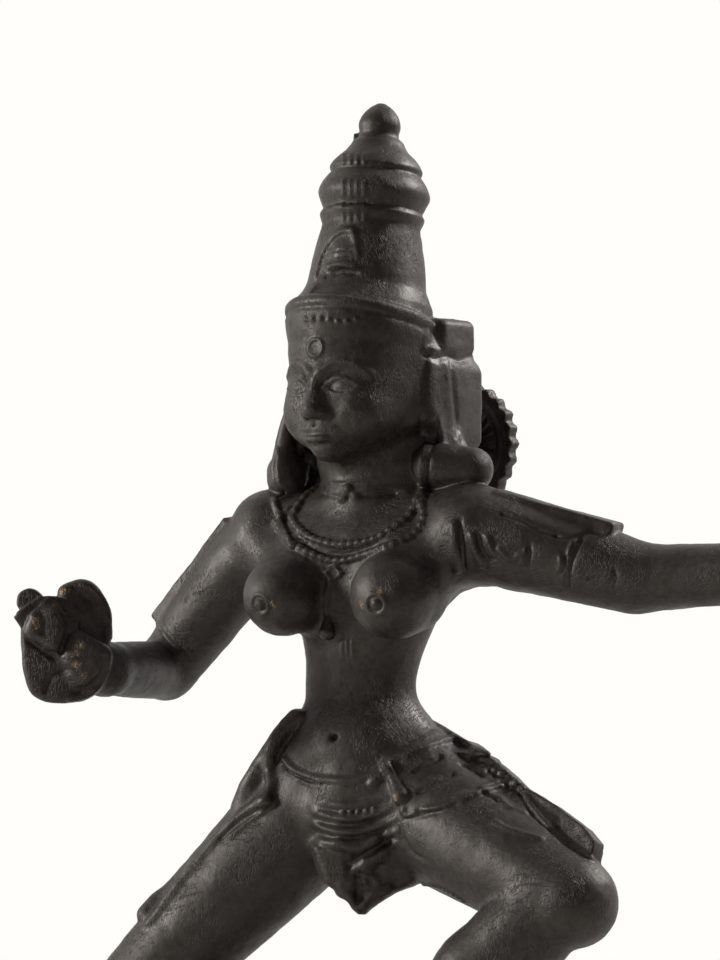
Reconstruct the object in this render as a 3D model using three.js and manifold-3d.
// A dancing goddess in cast bronze on a low lotus plinth. Millimetres, +Z up.
// The hips face -Y, +X is the figure's own left, and the origin is the centre of the plinth's underside.
import * as THREE from "three";
import { mergeVertices } from "three/addons/utils/BufferGeometryUtils.js";
import Module from "manifold-3d";

// Driving dimensions
const FIGURE_HEIGHT = 242; // sole of the standing foot to the tip of the crown
const PLINTH_RADIUS = 43; // at the foot of the lower petals
const PLINTH_HEIGHT = 27;
const SEAT_GAP = 0.3; // under the standing sole
const FIGURE_TRIANGLES = 7300;
const PLINTH_TRIANGLES = 2600;
const GRID_STEP = 1.05; // spacing of the sampled distances

// The figure is shaped in units of 1/242 of its own height, with its sole at z = 0.
const UNIT = FIGURE_HEIGHT / 242;
const PELVIS_SHIFT = [4, 6]; // the pelvis stands a little behind and beside the plinth's centre

const vec = (x, y, z) => new THREE.Vector3(x, y, z);
const degrees = THREE.MathUtils.degToRad;
const { clamp, lerp, smoothstep } = THREE.MathUtils;

// Frames: a local origin with a turn, for limbs and for the head and chest.
class Frame {
  constructor(origin, yaw = 0, pitch = 0, roll = 0) {
    const turn = new THREE.Euler(degrees(pitch), degrees(roll), degrees(yaw), "ZYX");
    this.matrix = new THREE.Matrix4().makeRotationFromEuler(turn).setPosition(origin);
    this.inverse = this.matrix.clone().invert();
  }

  static along(origin, direction, up) {
    const frame = new Frame(origin);
    const x = direction.clone().normalize();
    const y = up.clone().cross(x).normalize();
    const z = x.clone().cross(y);
    frame.matrix.makeBasis(x, y, z).setPosition(origin);
    frame.inverse = frame.matrix.clone().invert();
    return frame;
  }

  place(x, y, z) {
    return vec(x, y, z).applyMatrix4(this.matrix);
  }

  // The local coordinates of a point, as [x, y, z].
  local(x, y, z) {
    const e = this.inverse.elements;
    return [
      e[0] * x + e[4] * y + e[8] * z + e[12],
      e[1] * x + e[5] * y + e[9] * z + e[13],
      e[2] * x + e[6] * y + e[10] * z + e[14],
    ];
  }
}

const WORLD = new Frame(vec(0, 0, 0));
const LEFT_FRONT = new Frame(vec(0, 0, 0), 28); // x across and y away as seen from her left front

// Shapes: each has a distance (negative inside) and a sphere that holds it.
function limb(from, to, fromRadius, toRadius, swell = 0) {
  const [dx, dy, dz] = [to.x - from.x, to.y - from.y, to.z - from.z];
  const square = Math.max(dx * dx + dy * dy + dz * dz, 1e-9);
  const distance = (x, y, z) => {
    const [px, py, pz] = [x - from.x, y - from.y, z - from.z];
    const t = clamp((px * dx + py * dy + pz * dz) / square, 0, 1);
    const radius = lerp(fromRadius, toRadius, t) + swell * 4 * t * (1 - t);
    return Math.hypot(px - dx * t, py - dy * t, pz - dz * t) - radius;
  };
  const centre = from.clone().lerp(to, 0.5);
  const reach = Math.sqrt(square) / 2 + Math.max(fromRadius, toRadius) + Math.max(swell, 0);
  return { distance, centre, reach };
}

function oval(frame, at, radii, tilt = [0, 0, 0]) {
  const own = new Frame(vec(...at), ...tilt);
  own.matrix.premultiply(frame.matrix);
  own.inverse = own.matrix.clone().invert();
  const [a, b, c] = radii;
  const distance = (x, y, z) => {
    const [px, py, pz] = own.local(x, y, z);
    const near = Math.hypot(px / a, py / b, pz / c);
    const slope = Math.hypot(px / (a * a), py / (b * b), pz / (c * c));
    return slope < 1e-9 ? -Math.min(a, b, c) : (near * (near - 1)) / slope;
  };
  return { distance, centre: frame.place(...at), reach: Math.max(a, b, c) };
}

function slab(frame, at, halves, round, tilt = [0, 0, 0]) {
  const own = new Frame(vec(...at), ...tilt);
  own.matrix.premultiply(frame.matrix);
  own.inverse = own.matrix.clone().invert();
  const distance = (x, y, z) => {
    const [px, py, pz] = own.local(x, y, z);
    const [qx, qy, qz] = [
      Math.abs(px) - halves[0] + round,
      Math.abs(py) - halves[1] + round,
      Math.abs(pz) - halves[2] + round,
    ];
    const out = Math.hypot(Math.max(qx, 0), Math.max(qy, 0), Math.max(qz, 0));
    return out + Math.min(Math.max(qx, qy, qz), 0) - round;
  };
  return { distance, centre: frame.place(...at), reach: Math.hypot(...halves) };
}

// A flat piece with corners [x, z] in a frame, from y = near to y = far.
function plate(frame, outline, near, far, round) {
  const box = new THREE.Box2().setFromPoints(outline.map(([x, z]) => new THREE.Vector2(x, z)));
  const middle = box.getCenter(new THREE.Vector2());
  const half = (far - near) / 2;
  const deep = (far + near) / 2;
  const distance = (x, y, z) => {
    const [px, py, pz] = frame.local(x, y, z);
    const side = outlineDistance(outline, px, pz) + round;
    const depth = Math.abs(py - deep) - half + round;
    return Math.hypot(Math.max(side, 0), Math.max(depth, 0)) + Math.min(Math.max(side, depth), 0) - round;
  };
  const reach = Math.max(...outline.map(([x, z]) => Math.hypot(x - middle.x, z - middle.y)));
  return { distance, centre: frame.place(middle.x, deep, middle.y), reach: Math.hypot(reach, half) };
}

// The distance to a closed outline, negative inside it.
function outlineDistance(outline, x, z) {
  let square = Infinity;
  let inside = false;
  outline.forEach(([ax, az], n) => {
    const [bx, bz] = outline[(n + 1) % outline.length];
    const [ex, ez, wx, wz] = [bx - ax, bz - az, x - ax, z - az];
    const t = clamp((wx * ex + wz * ez) / (ex * ex + ez * ez), 0, 1);
    square = Math.min(square, (wx - ex * t) ** 2 + (wz - ez * t) ** 2);
    if (az > z !== bz > z && wx < (ex * wz) / ez) inside = !inside;
  });
  return Math.sqrt(square) * (inside ? -1 : 1);
}

// A smooth closed outline through corners.
function rounded(corners) {
  const points = corners.map(([x, z]) => vec(x, 0, z));
  const curve = new THREE.CatmullRomCurve3(points, true, "catmullrom", 0.5);
  return curve.getPoints(corners.length * 3).slice(1).map((point) => [point.x, point.z]);
}

// A strand through points, thinning evenly.
function strand(points, fromRadius, toRadius) {
  const last = points.length - 1;
  const radiusAt = (n) => lerp(fromRadius, toRadius, n / last);
  const pieces = points.slice(1).map((point, i) => limb(points[i], point, radiusAt(i), radiusAt(i + 1)));
  const box = new THREE.Box3().setFromPoints(points);
  return {
    distance: (x, y, z) => Math.min(...pieces.map((piece) => piece.distance(x, y, z))),
    centre: box.getCenter(vec(0, 0, 0)),
    reach: box.getSize(vec(0, 0, 0)).length() / 2 + Math.max(fromRadius, toRadius),
  };
}

// Values between stations, on a smooth curve. A station is [height, value, value, ...].
function between(stations, height) {
  const last = stations.length - 1;
  const at = clamp(height, stations[0][0], stations[last][0]);
  let i = 0;
  while (i < last - 1 && at > stations[i + 1][0]) i++;
  const [p, q, r, s] = [i - 1, i, i + 1, i + 2].map((n) => stations[clamp(n, 0, last)]);
  const step = r[0] - q[0];
  const t = (at - q[0]) / step;
  return q.slice(1).map((value, k) => {
    const c = k + 1;
    const into = ((r[c] - p[c]) / Math.max(r[0] - p[0], 1e-9)) * step;
    const out = ((s[c] - q[c]) / Math.max(s[0] - q[0], 1e-9)) * step;
    return value * (1 + 2 * t) * (1 - t) ** 2 + into * t * (1 - t) ** 2 +
      r[c] * t * t * (3 - 2 * t) - out * t * t * (1 - t);
  });
}

// A trunk with an oval section that changes with height: stations of [z, x, y, half width, half depth].
function trunk(frame, stations) {
  const TABLE_STEP = 0.5;
  const [low, high] = [stations[0][0], stations[stations.length - 1][0]];
  const rows = [];
  for (let h = low; h <= high + TABLE_STEP; h += TABLE_STEP) rows.push(between(stations, h));
  const distance = (x, y, z) => {
    const [px, py, pz] = frame.local(x, y, z);
    const at = clamp((pz - low) / TABLE_STEP, 0, rows.length - 1.001);
    const row = Math.floor(at);
    const t = at - row;
    const [cx, cy, a, b] = rows[row].map((value, k) => lerp(value, rows[row + 1][k], t));
    const near = Math.hypot((px - cx) / a, (py - cy) / b);
    const slope = Math.hypot((px - cx) / (a * a), (py - cy) / (b * b));
    const side = slope < 1e-9 ? -Math.min(a, b) : (near * (near - 1)) / slope;
    const rise = (rows[row + 1][2] - rows[row][2]) / TABLE_STEP;
    return Math.max(side / Math.hypot(1, rise), low - pz, pz - high);
  };
  const wide = Math.max(...stations.map(([, x, y, a, b]) => Math.hypot(x, y) + Math.max(a, b)));
  const reach = Math.hypot((high - low) / 2, wide);
  return { distance, centre: frame.place(0, 0, (low + high) / 2), reach };
}

// The figure's form is a list of strokes, folded over the distance in order.
const strokes = [];
const FAR = 60; // the distance before the first stroke

function blend(a, b, softness) {
  const h = Math.max(softness - Math.abs(a - b), 0) / softness;
  return Math.min(a, b) - (h * h * softness) / 4;
}

function join(shape, softness) {
  const fold = (f, x, y, z) => blend(f, shape.distance(x, y, z), softness);
  strokes.push({ centre: shape.centre, reach: shape.reach + softness, fold });
}

function carve(shape, softness) {
  const fold = (f, x, y, z) => -blend(-f, shape.distance(x, y, z), softness);
  strokes.push({ centre: shape.centre, reach: shape.reach + softness, fold });
}

// A raised cord, or with a negative radius a groove, where the surface so far meets the surface line = 0.
function cord(region, line, radius, softness = 0.6) {
  const fold = (f, x, y, z) => {
    const inside = region.distance(x, y, z);
    if (inside > Math.abs(radius)) return f;
    const rope = Math.max(Math.hypot(f, line(x, y, z)) - Math.abs(radius), inside);
    return radius > 0 ? blend(f, rope, softness) : -blend(-f, rope, softness);
  };
  strokes.push({ centre: region.centre, reach: region.reach, fold });
}

// The pose: joints in units, and the turn of the chest and head towards the right hand.
const CHEST = new Frame(vec(-0.5, 0, 0), -3);
const HEAD = new Frame(vec(-0.8, -2, 0), -9);
const HIP_OUT = 13;
const SIDES = [
  { side: 1, shoulder: vec(27, -2, 147), elbow: vec(64.5, 5, 136.6), wrist: vec(102, 8, 138), thick: 10 },
  {
    side: -1, shoulder: vec(-26.6, 2, 147), elbow: vec(-55, 5, 116.4), wrist: vec(-49.4, -30.8, 116.8),
    thick: 8.6,
  },
];
const LEGS = [
  {
    side: 1, hip: vec(HIP_OUT, 0, 86.5), knee: vec(55.8, -13.5, 67.6), ankle: vec(16, -18.7, 33.5),
    calf: vec(37, -15.5, 50), bulk: 10,
  },
  {
    side: -1, hip: vec(-HIP_OUT, 0, 86.3), knee: vec(-48.7, -14, 47.3), ankle: vec(-11, -6, 8.5),
    calf: vec(-37.5, -11, 35), bulk: 9.6,
  },
];

function shapeTorso() {
  join(trunk(WORLD, [
    [74, 0, 0, 9, 8],
    [84, 0, 0.5, 19, 14],
    [91, 0, 0.5, 22, 15],
    [97, -0.3, 0.3, 21.8, 14.6],
    [101, -0.6, 0, 19.3, 13.6],
    [105.6, -1.2, -0.3, 15.8, 11.8],
    [110, -1.8, -0.5, 13.2, 10.2],
    [114, -2, -0.5, 12.8, 9.9],
    [119, -1.5, -0.3, 13.3, 10.2],
    [127, -0.8, 0, 15.8, 11.8],
    [136, -0.4, 0.3, 18.4, 12.8],
    [145, -0.4, 0.5, 19, 12],
    [151, -0.4, 0.8, 13, 9],
    [157, -0.4, 0.6, 7, 7],
  ]), 2);
  join(oval(WORLD, [-1, -5.5, 99], [11.5, 8.5, 9]), 5); // belly
  carve(oval(WORLD, [-1.2, -14.3, 102], [1, 1.4, 1]), 0.8); // navel
  for (const side of [-1, 1]) {
    join(oval(WORLD, [side * 9.5, 6, 84], [11, 11, 12]), 5); // seat
    join(limb(CHEST.place(side * 6, 2, 150), CHEST.place(side * 24, 0, 148.5), 6.5, 7.5), 5); // shoulder
    const breast = side > 0 ? 9.5 : 8.8;
    join(limb(CHEST.place(side * 12 + 1, -4, 142), CHEST.place(side * 13 + 1, -10, 135.5), 6, 7.5), 6);
    const round = [CHEST.place(side * 13.4 + 1, -8, 134), CHEST.place(side * 14 + 1, -14.2, 132.8)];
    join(limb(...round, breast, breast), 1.6);
    join(oval(CHEST, [side * 15 + 1, -13.8 - breast, 130.9], [2.5, 1, 2.5], [side * 8, 8, 0]), 0.5);
    join(oval(CHEST, [side * 9, 10, 141], [7, 4, 9]), 4); // shoulder blade
  }
  join(limb(CHEST.place(0, 1, 150), HEAD.place(0, 1, 166), 7.6, 7.2), 3); // neck
}

function shapeArms() {
  for (const { side, shoulder, elbow, wrist, thick } of SIDES) {
    const bend = side > 0 ? 7.1 : 6.5;
    join(limb(shoulder, elbow, thick, bend, 0.3), 4);
    join(limb(elbow, wrist, bend, 5.7, 0.2), 1.5);
    join(limb(vec(side * 14, 3, 137), shoulder.clone().lerp(elbow, 0.25), 5, 5), 7); // armpit
    join(limb(CHEST.place(side * 15, -6.5, 138.5), CHEST.place(side * 25, -3, 143.5), 6.5, 6), 4);
    shapeSleeve(shoulder, elbow, side);
  }
  shapeRaisedHand();
  shapeDroopingHand();
}

// A short sleeve with a flat fold along its top that ends in a square peak.
function shapeSleeve(shoulder, elbow, side) {
  const sleeve = Frame.along(shoulder, elbow.clone().sub(shoulder), vec(0, 0, 1));
  const thick = side > 0 ? 8.6 : 7.8;
  const sag = side > 0 ? 1.1 : 0;
  const whole = shoulder.distanceTo(elbow);
  const peak = whole * (side > 0 ? 0.78 : 0.8);
  const ends = [0.3, 0.92].map((share) => sleeve.place(whole * share, 0, -sag));
  join(limb(...ends, thick + 0.4, thick - 1.2), 2);
  join(slab(sleeve, [peak * 0.55, 0.3, thick - 1.2], [peak * 0.45, 4.6, 2.4], 0.7), 1.2);
}

// The right hand: a thick palm turned outward, its fingers folded over to one side.
function shapeRaisedHand() {
  join(limb(SIDES[1].wrist, LEFT_FRONT.place(-60.5, -7, 117.8), 5.6, 5.6), 2);
  const palm = [
    [-75.2, 123.2], [-75, 117.1], [-73.9, 112.3], [-71.5, 110.2], [-67.8, 109.5], [-62.6, 109.9],
    [-59.1, 111.9], [-57.2, 115.4], [-56.3, 119.5], [-57.4, 122.3], [-62.2, 124.5], [-69.6, 125.4],
  ];
  join(plate(LEFT_FRONT, rounded(palm), -17, -7, 2.4), 0.8);
  const outer = [ // the finger held upright on the far side
    [-67.5, 130.6], [-67.3, 133.7], [-65.8, 135.6], [-62.9, 136.5], [-60.3, 135.6], [-58.2, 133.2],
    [-56.6, 130], [-56.2, 126.7], [-56.8, 122.3], [-62.3, 120.6], [-66.6, 124.1],
  ];
  join(plate(LEFT_FRONT, rounded(outer), -14.4, -7.5, 2.2), 0.5);
  join(limb(LEFT_FRONT.place(-66.3, -14.2, 133.6), LEFT_FRONT.place(-65.4, -15.4, 124), 1.8, 2.4), 0.9);
  const behind = [
    [-76.7, 130.6], [-76.4, 133.2], [-74.5, 134.5], [-72.3, 133.9], [-70.6, 131.5], [-74.1, 128],
  ];
  join(plate(LEFT_FRONT, rounded(behind), -14, -9.5, 1), 0.3);
  const middle = [
    [-77.4, 128.2], [-74.4, 131], [-71.8, 132.8], [-68.3, 132.8], [-66.1, 129.3], [-71.8, 125.4],
    [-75.2, 124.9],
  ];
  join(plate(LEFT_FRONT, middle, -17, -11, 0.9), 0.3);
  const folded = [
    [-74.6, 124.9], [-74, 128], [-72.7, 129.7], [-70.7, 130.4], [-68.5, 130.2], [-66.8, 128.6],
    [-65.9, 126.2], [-66.6, 123.2], [-67.9, 120.8], [-71.1, 122.3],
  ];
  join(plate(LEFT_FRONT, rounded(folded), -19.4, -13, 2.6), 0.4);
  const thumb = [
    [-66, 122.3], [-62.5, 124.5], [-57.1, 121.5], [-56.7, 118.4], [-58.2, 114.7], [-61.2, 112.8],
    [-64.7, 114.1], [-66.4, 118.4],
  ];
  join(plate(LEFT_FRONT, rounded(thumb), -18.6, -12, 3), 1);
}

// The left hand hangs from the wrist of the outstretched arm.
function shapeDroopingHand() {
  const { wrist } = SIDES[0];
  const hand = Frame.along(wrist, vec(0.85, -0.1, -0.5), vec(0.5, 0, 0.85));
  join(limb(wrist, hand.place(8, 0, 0), 5.6, 3.6), 1.5);
  join(slab(hand, [8, 0, 0], [7, 6.8, 3], 2.8), 2);
  for (let finger = 0; finger < 4; finger++) {
    const side = -5 + finger * 3.3;
    const reach = 24.5 - Math.abs(finger - 1.3) * 1.3;
    join(strand([
      hand.place(13, side, 0), hand.place(19, side * 1.05, -1.3), hand.place(reach, side * 1.1, -5),
    ], 2.1, 1.6), 0.5);
  }
  const thumb = [hand.place(3, -5, -1), hand.place(8, -8.4, -2.6), hand.place(13, -8.2, -5.2)];
  join(strand(thumb, 2.6, 1.8), 0.8);
}

function shapeLegs() {
  for (const { hip, knee, ankle, calf, bulk } of LEGS) {
    join(limb(hip, knee, 14.6, 10, 0.4), 4);
    join(limb(knee.clone().lerp(hip, 0.08).lerp(calf, 0.14), calf, bulk, bulk - 0.8), 1.5);
    join(limb(calf, ankle, bulk - 0.8, 5.2, 0.3), 1.5);
    join(limb(ankle.clone().lerp(knee, 0.06), ankle.clone().lerp(knee, 0.1), 6.6, 6.8), 0.4); // anklet
  }
  carve(oval(LEFT_FRONT, [23.4, -22, 63.6], [2.6, 9, 1.9], [0, 0, -20]), 1.6); // hollow of the left knee
}

// The dress below the waist: a belt with a loop, gathers in front and a flap of cloth over each thigh.
function shapeDress() {
  shapeLap();
  shapeLeftFlap();
  shapeRightFlap();
  const hips = oval(WORLD, [0, 0, 96], [30, 27, 16]);
  const front = oval(WORLD, [0, -14, 84], [17, 12, 14]);
  cord(hips, (x, y, z) => z - (92.6 + (y + 14.5) * 0.25 + 0.1 * Math.abs(x)), 1.1);
  for (const [height, curve] of [[86.8, 0.014], [82.3, 0.022], [77.6, 0.035]]) {
    cord(front, (x, y, z) => 0.9 * (z - height - curve * (x - 0.5) ** 2), 1.1);
  }
  join(strand([vec(9.5, -14.2, 94), vec(11.6, -14.6, 91.5), vec(11.6, -15.2, 88.5)], 1.5, 1.7), 0.8);
}

// The cloth that hangs between the thighs.
function shapeLap() {
  join(oval(LEFT_FRONT, [-0.4, -9, 75.5], [11, 6, 6.4]), 3);
  const hanging = [
    [-12.6, 78.5], [-9.6, 70.5], [-5.4, 67.4], [-3.9, 64.8], [-2.6, 63.5], [-0.9, 63.5], [0.7, 65],
    [2.2, 66.1], [6.3, 68.7], [8.9, 70.2], [11.8, 78.5], [0, 81.8],
  ];
  join(plate(LEFT_FRONT, hanging, -15, -7.5, 1.6), 2.5);
  join(oval(LEFT_FRONT, [0, -13.5, 79.6], [9, 4, 5.6]), 3);
}

// Cloth over the raised thigh, with a fin of cloth at its end.
function shapeLeftFlap() {
  const { hip, knee } = LEGS[0];
  const thigh = Frame.along(hip, knee.clone().sub(hip), vec(0, 0.35, 1));
  const length = hip.distanceTo(knee);
  join(slab(thigh, [length * 0.36, 0.5, 10.6], [length * 0.42, 4, 4.4], 2, [0, 0, 2]), 2.5);
  const fin = [
    [1.6, 16.6], [12.2, 16.8], [23.9, 15.9], [32, 16.8], [42.4, 16.9], [45.4, 15.9], [48.1, 11.8],
    [46.5, 6.1], [19.4, 7.2],
  ];
  join(plate(thigh, fin, -2.6, 1.6, 0.8), 1.2);
}

// Cloth over the standing thigh: a twisted fold down from the waist and a rounded flap behind it.
function shapeRightFlap() {
  const fold = [[-16.4, -1, 106.6], [-19.6, 0, 102.5], [-23, 1, 97], [-26.2, 2, 91.6], [-27.8, 3, 87]];
  join(strand(fold.map((point) => LEFT_FRONT.place(...point)), 1.5, 2.6), 1.5);
  const edge = [[-33, 6, 80], [-43, 7, 69.4], [-46.8, 7, 65.6], [-48.8, 6.5, 62.6]];
  join(strand(edge.map((point) => LEFT_FRONT.place(...point)), 1, 2.6), 1.2);
}

function shapeHead() {
  join(oval(HEAD, [0, 1, 181], [15.8, 17.6, 17]), 2.5);
  join(oval(HEAD, [0, -3.5, 176.5], [13.8, 13.2, 15.2]), 3);
  join(oval(HEAD, [0, -0.5, 187], [15.2, 16.6, 8]), 3); // forehead
  join(oval(HEAD, [0, -10.2, 166], [5, 4.8, 4.4]), 3); // chin
  for (const side of [-1, 1]) {
    join(oval(HEAD, [side * 7, -9.5, 173.5], [5.7, 5.6, 6]), 3.5); // cheek
    carve(oval(HEAD, [side * 5.9, -17.2, 179.3], [3.6, 1.7, 1.8]), 1.5);
    join(oval(HEAD, [side * 5.9, -14.5, 179], [3.4, 2, 1.6]), 0.4); // eye
    join(strand([
      HEAD.place(side * 1.4, -17.2, 182.2), HEAD.place(side * 5.8, -16.2, 184),
      HEAD.place(side * 10.4, -12.6, 182.2)], 0.9, 0.6), 1.2); // brow
    join(oval(HEAD, [side * 1.9, -17.4, 172.6], [1.3, 1.6, 1.2]), 0.8); // nostril
  }
  join(limb(HEAD.place(0, -16.4, 182), HEAD.place(0, -18.8, 173), 1.3, 1.9), 1.2); // nose
  join(oval(HEAD, [0, -16.2, 169.2], [3.6, 1.4, 0.9]), 0.6); // lips
  join(oval(HEAD, [0, -15.8, 167.5], [2.8, 1.6, 1.1]), 0.6);
  join(oval(HEAD, [0, -16.6, 188], [2.2, 1.2, 2.2]), 0.3); // mark on the forehead
  carve(oval(HEAD, [0, -17.9, 188], [1.1, 1, 1.1]), 0.2);
}

// Hair: a full mass with square blocks at each side, a lock before each ear and curls at the nape.
function shapeHair() {
  join(oval(HEAD, [0, 11.5, 178], [17.5, 17.5, 19]), 2);
  join(trunk(HEAD, [
    [157, 0, 9, 15, 12],
    [165, 0, 10, 16.5, 17],
    [174, 0, 9.5, 17.6, 20],
    [186, 0, 9.5, 17.6, 20],
    [193, 0, 9, 15, 16],
  ]), 3);
  for (const side of [-1, 1]) {
    join(strand([
      HEAD.place(side * 15.2, 1.5, 190), HEAD.place(side * 15.4, 2.5, 178), HEAD.place(side * 16.5, 4, 165),
    ], 1.8, 3), 1.5);
    join(oval(HEAD, [side * 14, 6, 176], [4.4, 8, 15]), 1.5);
    join(slab(HEAD, [side * 12.9, 11.6, 189.7], [5.2, 6.4, 3.9], 1.2), 0.6);
    join(slab(HEAD, [side * 12.7, 12.9, 174.6], [5.9, 7.9, 9.8], 1.6), 0.8);
    join(strand([
      HEAD.place(side * 16, 8, 170), HEAD.place(side * 18, 8.6, 165), HEAD.place(side * 21.5, 8, 157),
    ], 2.2, side > 0 ? 4.6 : 3), 1.5);
  }
  const lock = [HEAD.place(-17.3, -2.5, 176), HEAD.place(-19.4, -2.5, 169), HEAD.place(-21, -1.5, 161)];
  join(strand(lock, 1.1, 2.7), 1);
  shapeEarring([20.7, 5.4, 160.8], 28, 6, [8.8, 5.4, 4.8]);
  shapeEarring([-21, -0.4, 159.6], -28, -6, [4.4, 4, 4.8]);
  for (let curl = -2; curl <= 2; curl++) {
    const low = 151 + Math.abs(curl) * 1.5;
    const top = HEAD.place(curl * 5, 21 - Math.abs(curl), 166);
    join(limb(top, HEAD.place(curl * 5.2, 16.5, low), 3.4, 2.4), 0.8);
  }
}

// A barrel of an ear ornament that lies on the shoulder.
function shapeEarring(at, yaw, roll, halves) {
  join(slab(HEAD, at, halves, Math.min(...halves) * 0.8, [yaw, 0, roll]), 0.6);
}

// The halo: a dished wheel with a scalloped rim on a stem behind the head.
function shapeHalo() {
  const RIM = 13.8;
  const SCALLOPS = 24;
  const halo = new Frame(HEAD.place(0.8, 37, 167), -9);
  const distance = (x, y, z) => {
    const [px, py, pz] = halo.local(x, y, z);
    const out = Math.hypot(px, pz);
    const rim = RIM + 0.4 * Math.cos(SCALLOPS * Math.atan2(px, pz));
    const dish = 1.9 * smoothstep(RIM - out, 1.5, 8);
    return Math.max(out - rim, py - 1.6, -1.6 + dish - py);
  };
  join({ distance, centre: halo.place(0, 0, 0), reach: RIM + 2 }, 0.3);
  join(limb(HEAD.place(0, 24, 170), HEAD.place(0.6, 36, 167), 4.4, 3.6), 1);
}

// The tiered crown, turned about an axis that leans back, on a brim that dips behind.
function shapeCrown() {
  const leaning = (frame, angle) => {
    frame.matrix.multiply(new THREE.Matrix4().makeRotationX(degrees(angle)));
    frame.inverse = frame.matrix.clone().invert();
    return frame;
  };
  const brim = leaning(new Frame(HEAD.place(0, 0, 192), -9), -15);
  join(trunk(brim, [
    [-9, 0, 0.6, 13.6, 15], [-6.5, 0, 0.5, 15.2, 16.6], [-4, 0, 0.5, 16.2, 17.5], [-1.8, 0, 0.4, 16.6, 18],
    [-0.7, 0, 0.2, 16.1, 17.3], [0, 0, 0, 16.8, 18], [1.4, 0, 0, 16.9, 18], [2.2, 0, 0, 16.2, 17.2],
    [3.2, 0, 0, 13.6, 14.6], [4.2, 0, 0, 10, 11],
  ]), 0.6);
  const crown = leaning(new Frame(HEAD.place(0, 0, 192), -9), -7);
  const profile = [
    [0, 16], [4.4, 15.3], [6.4, 14.2], [8.4, 13.3], [10.8, 12.9], [15, 12.3], [19.4, 11.4], [22.2, 10.9],
    [23.4, 11.3], [24.6, 11.6], [25.6, 11], [26.6, 11.4], [29.2, 12.4], [31.6, 11.7], [33.2, 10.3],
    [34, 9.4], [34.8, 10.2], [35.6, 10.1], [37.6, 8.6], [39.3, 6.8], [40.4, 6], [41.2, 5.6], [42.2, 4.5],
    [43.2, 4.3], [45, 4.7], [47, 4.1], [48.8, 2.6], [50, 0.9],
  ];
  join(trunk(crown, profile.map(([z, r]) => {
    const flare = 0.12 * Math.max(0, 7 - z);
    return [z, 0.35 + 0.006 * z - flare, -flare, r, r];
  })), 0.5);
  join(oval(crown, [0.5, -10.6, 14.5], [5.6, 2.8, 9.5]), 0.5); // leaf on the front
  carve(oval(crown, [0.5, -13.6, 14], [3.4, 1.6, 6.4]), 0.5);
  join(limb(crown.place(-3, -13.4, 9), crown.place(4, -13.2, 9), 1.3, 1.3), 0.6);
}

// The point where a line from outside first meets the surface shaped so far.
function touch(outside, inside) {
  const at = (t) => {
    const p = outside.clone().lerp(inside, t);
    const near = strokes.filter((stroke) => stroke.centre.distanceTo(p) < stroke.reach);
    return near.reduce((f, stroke) => stroke.fold(f, p.x, p.y, p.z), FAR);
  };
  let [low, high] = [0, 1];
  for (let t = 0; t <= 1 && high === 1; t += 0.02) {
    if (at(t) < 0) high = t;
    else low = t;
  }
  for (let n = 0; n < 10; n++) {
    const middle = (low + high) / 2;
    if (at(middle) < 0) high = middle;
    else low = middle;
  }
  return outside.clone().lerp(inside, low);
}

// Two strings of beads round the neck, and a cord with a bell between the breasts.
function shapeNecklaces() {
  const middle = CHEST.place(-1, 1, 146);
  const loops = [[-0.04, 0.5], [-0.34, 0.56]].map(([front, rise]) => {
    const points = [];
    for (let turn = 0; turn <= 32; turn++) {
      const angle = (turn / 32) * 2 * Math.PI;
      const lift = front + rise * (1 - Math.cos(angle));
      const outward = vec(Math.sin(angle), -Math.cos(angle), lift).multiplyScalar(26);
      points.push(touch(middle.clone().add(outward), middle));
    }
    return points;
  });
  for (const points of loops) join(strand(points, 1.2, 1.2), 0.6);
  const pendant = [CHEST.place(-3.5, -12.6, 140.5), CHEST.place(0, -14, 135.5), CHEST.place(0, -15.4, 130)];
  join(strand(pendant, 1.3, 1.6), 0.8);
  join(strand([CHEST.place(4, -12.6, 140.5), CHEST.place(0, -14, 135.5)], 1.1, 1.3), 0.8);
  join(limb(CHEST.place(0, -15.2, 129.5), CHEST.place(0, -14.8, 125.8), 1.8, 2.7), 0.5);
}

function shapeStandingFoot() {
  const { ankle } = LEGS[1];
  const foot = new Frame(vec(ankle.x, ankle.y, 0), -27);
  join(oval(foot, [0, 3, 5], [5.2, 6.5, 5.4]), 2);
  join(limb(foot.place(0, -2, 6), foot.place(0, -21, 3), 5, 3.4), 3);
  join(oval(foot, [0, -18, 2.6], [7, 9, 3]), 2.5);
  for (let toe = 0; toe < 5; toe++) {
    const x = 5.6 - toe * 2.7;
    const y = -25.5 + Math.abs(toe - 0.6) * 1.1;
    join(limb(foot.place(x * 0.8, -20, 2.6), foot.place(x, y, 1.8), 1.9, toe ? 1.5 : 2), 0.7);
  }
  carve(slab(WORLD, [0, 0, -10], [200, 200, 10], 0.01), 0.01);
}

function shapeRaisedFoot() {
  const { ankle } = LEGS[0];
  const foot = Frame.along(ankle, vec(-0.42, -0.5, -0.75), vec(-0.35, -0.65, 0.6));
  join(oval(foot, [0, 0, -3.5], [6, 5, 5.4]), 2);
  join(limb(foot.place(2, 0, -1), foot.place(18, 0, -4.5), 5, 3.4), 3);
  join(oval(foot, [17, 0, -5], [9, 6.4, 3]), 2.5);
  for (let toe = 0; toe < 5; toe++) {
    const side = 5.2 - toe * 2.6;
    const out = 25.5 - Math.abs(toe - 0.6) * 1.1;
    join(limb(foot.place(19, side * 0.8, -5), foot.place(out, side, -5.4), 1.9, toe ? 1.5 : 2), 0.7);
  }
}

shapeTorso();
shapeArms();
shapeLegs();
shapeDress();
shapeHead();
shapeHair();
shapeHalo();
shapeCrown();
shapeNecklaces();
shapeStandingFoot();
shapeRaisedFoot();

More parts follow.
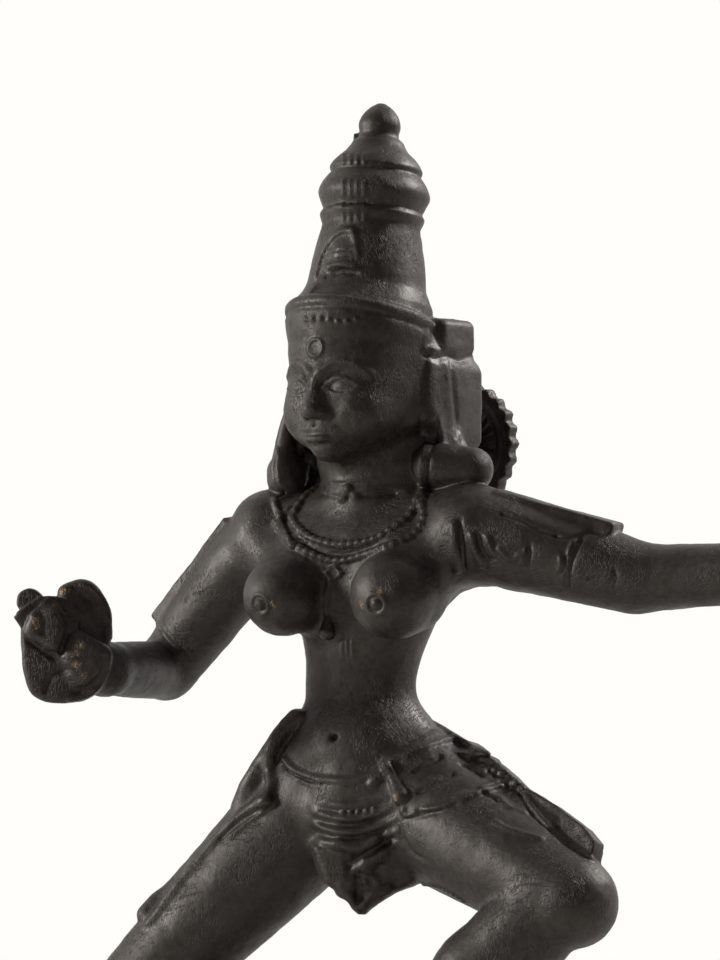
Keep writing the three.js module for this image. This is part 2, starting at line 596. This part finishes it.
// The surface: distances sampled on a grid, in blocks that skip empty space, then cut into tetrahedra.
function sampleGrid(step) {
  const box = new THREE.Box3();
  for (const { centre, reach } of strokes) {
    if (reach > 100) continue;
    box.expandByPoint(centre.clone().addScalar(reach));
    box.expandByPoint(centre.clone().subScalar(reach));
  }
  box.min.z = Math.max(box.min.z, -2);
  box.expandByScalar(2 * step);
  const BLOCK = 8;
  const size = box.getSize(vec(0, 0, 0)).toArray();
  const count = size.map((length) => Math.ceil(length / step / BLOCK) * BLOCK + 1);
  const [nx, ny, nz] = count;
  const values = new Float32Array(nx * ny * nz).fill(1);
  const half = (BLOCK * step) / 2;
  const margin = half * Math.sqrt(3) * 1.25;
  for (let k = 0; k < nz - 1; k += BLOCK) {
    for (let j = 0; j < ny - 1; j += BLOCK) {
      for (let i = 0; i < nx - 1; i += BLOCK) {
        const corner = [box.min.x + i * step, box.min.y + j * step, box.min.z + k * step];
        const middle = vec(...corner).addScalar(half);
        const near = strokes.filter(({ centre, reach }) => centre.distanceTo(middle) < reach + margin);
        if (!near.length) continue;
        const field = (x, y, z) => near.reduce((f, stroke) => stroke.fold(f, x, y, z), FAR);
        const here = field(middle.x, middle.y, middle.z);
        if (here > margin) continue;
        const solid = here < -margin;
        for (let c = 0; c <= BLOCK; c++) {
          for (let b = 0; b <= BLOCK; b++) {
            for (let a = 0; a <= BLOCK; a++) {
              const [x, y, z] = [a, b, c].map((n, axis) => corner[axis] + n * step);
              const value = solid ? -1 : field(x, y, z);
              values[i + a + nx * (j + b + ny * (k + c))] = value || 1e-6;
            }
          }
        }
      }
    }
  }
  return { values, count, origin: box.min, step };
}

// Each cube becomes six tetrahedra round its long diagonal, which keeps the surface closed.
function surfaceOf({ values, count, origin, step }) {
  const [nx, ny] = count;
  const stride = [1, nx, nx * ny];
  const positions = [];
  const triangles = [];
  const crossings = new Map();
  const point = (index) => [index % nx, Math.floor(index / nx) % ny, Math.floor(index / stride[2])];
  const crossing = (a, b) => {
    const key = a < b ? a * values.length + b : b * values.length + a;
    let found = crossings.get(key);
    if (found === undefined) {
      const t = clamp(values[a] / (values[a] - values[b]), 0.02, 0.98);
      const [p, q] = [point(a), point(b)];
      found = positions.length / 3;
      positions.push(...["x", "y", "z"].map((axis, n) => origin[axis] + step * lerp(p[n], q[n], t)));
      crossings.set(key, found);
    }
    return found;
  };
  const ORDERS = [[0, 1, 2], [1, 2, 0], [2, 0, 1], [0, 2, 1], [2, 1, 0], [1, 0, 2]];
  const cut = (corners, flip) => {
    const inside = corners.filter((c) => values[c] < 0);
    const outside = corners.filter((c) => values[c] >= 0);
    if (!inside.length || !outside.length) return;
    const emit = (a, b, c) => triangles.push(...(flip ? [a, c, b] : [a, b, c]));
    const parity = (order) => {
      const at = order.map((corner) => corners.indexOf(corner));
      let swaps = 0;
      for (let m = 0; m < 4; m++) swaps += at.slice(m + 1).filter((n) => n < at[m]).length;
      return swaps % 2 === 1;
    };
    if (inside.length === 1 || outside.length === 1) {
      const [tip, base] = inside.length === 1 ? [inside[0], outside] : [outside[0], inside];
      const [a, b, c] = base.map((corner) => crossing(tip, corner));
      if (parity([tip, ...base]) !== (inside.length === 1)) emit(a, b, c);
      else emit(a, c, b);
      return;
    }
    const [p, q] = inside;
    const [r, s] = outside;
    const [pr, ps, qs, qr] = [crossing(p, r), crossing(p, s), crossing(q, s), crossing(q, r)];
    if (parity([p, q, r, s])) {
      emit(pr, qs, ps);
      emit(pr, qr, qs);
    } else {
      emit(pr, ps, qs);
      emit(pr, qs, qr);
    }
  };
  for (let index = 0; index + stride[0] + stride[1] + stride[2] < values.length; index++) {
    const [i, j] = point(index);
    if (i === nx - 1 || j === ny - 1) continue;
    const negative = values[index] < 0;
    let mixed = false;
    for (let c = 1; c < 8 && !mixed; c++) {
      const other = index + (c & 1) + (c & 2 ? stride[1] : 0) + (c & 4 ? stride[2] : 0);
      mixed = values[other] < 0 !== negative;
    }
    if (!mixed) continue;
    ORDERS.forEach(([a, b, c], n) => {
      const first = index + stride[a];
      const second = first + stride[b];
      cut([index, first, second, second + stride[c]], n > 2);
    });
  }
  return { positions: new Float32Array(positions), triangles: new Uint32Array(triangles) };
}

// Softens the steps of the grid: each point moves towards its neighbours' mean, then part of the way back.
function soften({ positions, triangles }) {
  const count = positions.length / 3;
  for (const share of [0.5, -0.52]) {
    const sums = new Float64Array(positions.length);
    const weights = new Uint16Array(count);
    for (let t = 0; t < triangles.length; t++) {
      const [from, to] = [triangles[t], triangles[t % 3 === 2 ? t - 2 : t + 1]];
      weights[from]++;
      for (let axis = 0; axis < 3; axis++) sums[from * 3 + axis] += positions[to * 3 + axis];
    }
    for (let n = 0; n < positions.length; n++) {
      positions[n] += share * (sums[n] / weights[Math.floor(n / 3)] - positions[n]);
    }
  }
}

// A heap of candidates, cheapest first.
class Heap {
  items = [];

  push(item) {
    const { items } = this;
    let at = items.push(item) - 1;
    while (at > 0) {
      const parent = (at - 1) >> 1;
      if (items[parent].cost <= item.cost) break;
      items[at] = items[parent];
      at = parent;
    }
    items[at] = item;
  }

  pop() {
    const { items } = this;
    const top = items[0];
    const item = items.pop();
    if (items.length) {
      let at = 0;
      for (;;) {
        let child = 2 * at + 1;
        if (child >= items.length) break;
        if (child + 1 < items.length && items[child + 1].cost < items[child].cost) child++;
        if (items[child].cost >= item.cost) break;
        items[at] = items[child];
        at = child;
      }
      items[at] = item;
    }
    return top;
  }
}

// Collapses edges, least change to the planes round them first, and keeps the surface closed and unfolded.
class Reducer {
  constructor({ positions, triangles }) {
    this.points = Float64Array.from(positions);
    this.faces = Int32Array.from(triangles);
    this.count = triangles.length / 3;
    this.quadrics = new Float64Array((positions.length / 3) * 10);
    this.around = Array.from({ length: positions.length / 3 }, () => []);
    this.stamp = new Uint32Array(positions.length / 3);
    for (let f = 0; f < this.count; f++) this.addPlane(f);
  }

  corner(index) {
    return this.points.subarray(index * 3, index * 3 + 3);
  }

  // The face's normal, with twice its area as length, when corner `moved` stands at `to`.
  normal(face, moved = -1, to = null) {
    const [a, b, c] = [0, 1, 2].map((k) => {
      const index = this.faces[face * 3 + k];
      return index === moved ? to : this.corner(index);
    });
    const [ux, uy, uz] = [b[0] - a[0], b[1] - a[1], b[2] - a[2]];
    const [wx, wy, wz] = [c[0] - a[0], c[1] - a[1], c[2] - a[2]];
    return [uy * wz - uz * wy, uz * wx - ux * wz, ux * wy - uy * wx];
  }

  addPlane(face) {
    const [nx, ny, nz] = this.normal(face);
    const size = Math.hypot(nx, ny, nz) || 1;
    const [a, b, c] = [nx / size, ny / size, nz / size];
    const p = this.corner(this.faces[face * 3]);
    const d = -(a * p[0] + b * p[1] + c * p[2]);
    const terms = [a * a, a * b, a * c, a * d, b * b, b * c, b * d, c * c, c * d, d * d];
    for (let k = 0; k < 3; k++) {
      const index = this.faces[face * 3 + k];
      this.around[index].push(face);
      for (let n = 0; n < 10; n++) this.quadrics[index * 10 + n] += terms[n] * size;
    }
  }

  candidate(a, b) {
    const q = new Float64Array(10);
    for (let n = 0; n < 10; n++) q[n] = this.quadrics[a * 10 + n] + this.quadrics[b * 10 + n];
    const error = ([x, y, z]) =>
      q[0] * x * x + 2 * q[1] * x * y + 2 * q[2] * x * z + 2 * q[3] * x + q[4] * y * y +
      2 * q[5] * y * z + 2 * q[6] * y + q[7] * z * z + 2 * q[8] * z + q[9];
    const [p, r] = [this.corner(a), this.corner(b)];
    const middle = [(p[0] + r[0]) / 2, (p[1] + r[1]) / 2, (p[2] + r[2]) / 2];
    const length = Math.hypot(p[0] - r[0], p[1] - r[1], p[2] - r[2]);
    const places = [middle, Array.from(p), Array.from(r)];
    const minors = [q[4] * q[7] - q[5] * q[5], q[2] * q[5] - q[1] * q[7], q[1] * q[5] - q[2] * q[4]];
    const det = q[0] * minors[0] + q[1] * minors[1] + q[2] * minors[2];
    if (Math.abs(det) > 1e-7) {
      const best = [
        -(q[3] * minors[0] + q[6] * minors[1] + q[8] * minors[2]) / det,
        -(q[3] * minors[1] + q[6] * (q[0] * q[7] - q[2] * q[2]) + q[8] * (q[1] * q[2] - q[0] * q[5])) / det,
        -(q[3] * minors[2] + q[6] * (q[1] * q[2] - q[0] * q[5]) + q[8] * (q[0] * q[4] - q[1] * q[1])) / det,
      ];
      if (Math.hypot(...best.map((value, n) => value - middle[n])) < length) places.unshift(best);
    }
    let [place, cost] = [null, Infinity];
    for (const option of places) {
      const value = error(option);
      if (value < cost - 1e-9) [place, cost] = [option, value];
    }
    const priority = Math.max(cost, 0) + 1e-4 * length * length;
    return { a, b, place, cost: priority, stamps: this.stamp[a] + this.stamp[b] };
  }

  neighbours(index) {
    const found = new Set();
    for (const face of this.around[index]) {
      for (let k = 0; k < 3; k++) found.add(this.faces[face * 3 + k]);
    }
    found.delete(index);
    return found;
  }

  // True where the collapse keeps every edge between two faces and turns no face over.
  allowed({ a, b, place }) {
    const beside = this.neighbours(b);
    let shared = 0;
    for (const index of this.neighbours(a)) if (beside.has(index)) shared++;
    if (shared !== 2) return false;
    for (const [index, other] of [[a, b], [b, a]]) {
      for (const face of this.around[index]) {
        const corners = this.faces.subarray(face * 3, face * 3 + 3);
        if (corners.includes(other)) continue;
        const [before, after] = [this.normal(face), this.normal(face, index, place)];
        const [size, next] = [Math.hypot(...before), Math.hypot(...after)];
        const turn = before[0] * after[0] + before[1] * after[1] + before[2] * after[2];
        if (next < 1e-3 || turn < 0.35 * size * next) return false;
      }
    }
    return true;
  }

  collapse({ a, b, place }) {
    this.corner(a).set(place);
    for (let n = 0; n < 10; n++) this.quadrics[a * 10 + n] += this.quadrics[b * 10 + n];
    for (const face of this.around[b]) {
      const corners = this.faces.subarray(face * 3, face * 3 + 3);
      if (corners.includes(a)) {
        for (const index of corners) {
          this.around[index] = this.around[index].filter((other) => other !== face);
        }
        corners.fill(-1);
        this.count--;
      } else {
        corners[corners.indexOf(b)] = a;
        this.around[a].push(face);
      }
    }
    this.around[b] = [];
    this.stamp[a]++;
    this.stamp[b]++;
  }

  reduce(target) {
    const heap = new Heap();
    for (let t = 0; t < this.faces.length; t++) {
      const [a, b] = [this.faces[t], this.faces[t % 3 === 2 ? t - 2 : t + 1]];
      if (a < b) heap.push(this.candidate(a, b));
    }
    while (this.count > target && heap.items.length) {
      const next = heap.pop();
      const { a, b } = next;
      if (!this.around[a].length || !this.around[b].length) continue;
      if (next.stamps !== this.stamp[a] + this.stamp[b]) continue;
      if (!this.allowed(next)) continue;
      this.collapse(next);
      for (const index of this.neighbours(a)) heap.push(this.candidate(a, index));
    }
    const kept = this.faces.filter((index) => index >= 0);
    const corners = new THREE.BufferGeometry()
      .setAttribute("position", new THREE.BufferAttribute(Float32Array.from(this.points), 3))
      .setIndex(new THREE.BufferAttribute(Uint32Array.from(kept), 1));
    return mergeVertices(corners.toNonIndexed(), 1e-5);
  }
}

function figureGeometry() {
  const surface = surfaceOf(sampleGrid(GRID_STEP));
  soften(surface);
  return new Reducer(surface).reduce(FIGURE_TRIANGLES);
}

// The plinth: a moulded round base with a row of petals turned down and a row turned up.
const PETALS = 12;
const PLINTH_PROFILE = [ // [share of the radius, share of the height]
  [0, 0], [1, 0], [1, 0.12], [0.95, 0.16], [0.9, 0.2], [0.79, 0.42], [0.76, 0.5], [0.79, 0.58],
  [0.87, 0.84], [0.91, 0.87], [0.91, 0.96], [0.89, 1], [0, 1],
];

async function plinthGeometry() {
  const wasm = await Module();
  wasm.setup();
  const solid = (geometry) => {
    const bare = new THREE.BufferGeometry()
      .setAttribute("position", geometry.getAttribute("position").clone())
      .setIndex(geometry.getIndex().clone());
    const merged = mergeVertices(bare, 1e-4);
    const vertices = merged.getAttribute("position").array;
    const indices = Array.from(merged.getIndex().array);
    const faces = [];
    for (let t = 0; t < indices.length; t += 3) {
      const [a, b, c] = indices.slice(t, t + 3);
      if (a !== b && b !== c && c !== a) faces.push(a, b, c);
    }
    const mesh = new wasm.Mesh({ numProp: 3, vertProperties: vertices, triVerts: new Uint32Array(faces) });
    return new wasm.Manifold(mesh);
  };
  const outline = PLINTH_PROFILE.map(([r, z]) => new THREE.Vector2(r * PLINTH_RADIUS, z * PLINTH_HEIGHT));
  const parts = [solid(new THREE.LatheGeometry(outline, 48).rotateX(Math.PI / 2))];
  const petal = new THREE.SphereGeometry(1, 10, 6).rotateX(Math.PI / 2);
  const points = petal.getAttribute("position");
  for (let n = 0; n < points.count; n++) {
    const tip = Math.max(points.getZ(n), 0);
    points.setX(n, points.getX(n) + 0.5 * tip * tip);
    points.setY(n, points.getY(n) * (1 - 0.25 * tip));
    points.setZ(n, points.getZ(n) * (1 + 0.15 * tip));
  }
  const width = ((PLINTH_RADIUS * Math.PI) / PETALS) * 0.84;
  for (let n = 0; n < PETALS; n++) {
    const around = (2 * Math.PI * n) / PETALS;
    for (const row of [-1, 1]) {
      const shaped = petal.clone().scale(3.2, width * (row > 0 ? 0.93 : 1), PLINTH_HEIGHT * 0.19);
      if (row < 0) shaped.rotateX(Math.PI);
      shaped.rotateY(degrees(row > 0 ? 16 : -20));
      const out = PLINTH_RADIUS * (row > 0 ? 0.8 : 0.83);
      const height = PLINTH_HEIGHT * (row > 0 ? 0.67 : 0.34);
      const turn = around + (row > 0 ? 0 : Math.PI / PETALS);
      parts.push(solid(shaped.translate(out, 0, height).rotateZ(turn)));
    }
  }
  const mesh = wasm.Manifold.union(parts).getMesh();
  const surface = {
    positions: Float32Array.from(mesh.vertProperties),
    triangles: Uint32Array.from(mesh.triVerts),
  };
  return new Reducer(surface).reduce(PLINTH_TRIANGLES);
}

const model = new THREE.Group();
function addPiece(name, geometry, color, roughness) {
  const material = new THREE.MeshStandardMaterial({ color, roughness, metalness: 0.75 });
  const piece = new THREE.Mesh(geometry, material);
  piece.name = name;
  model.add(piece);
  return piece;
}

const figure = addPiece("figure", figureGeometry(), 0x2b2623, 0.42);
figure.scale.setScalar(UNIT);
figure.position.set(PELVIS_SHIFT[0] * UNIT, PELVIS_SHIFT[1] * UNIT, PLINTH_HEIGHT + SEAT_GAP);
addPiece("lotus_plinth", await plinthGeometry(), 0x2e2925, 0.45);

export default model;
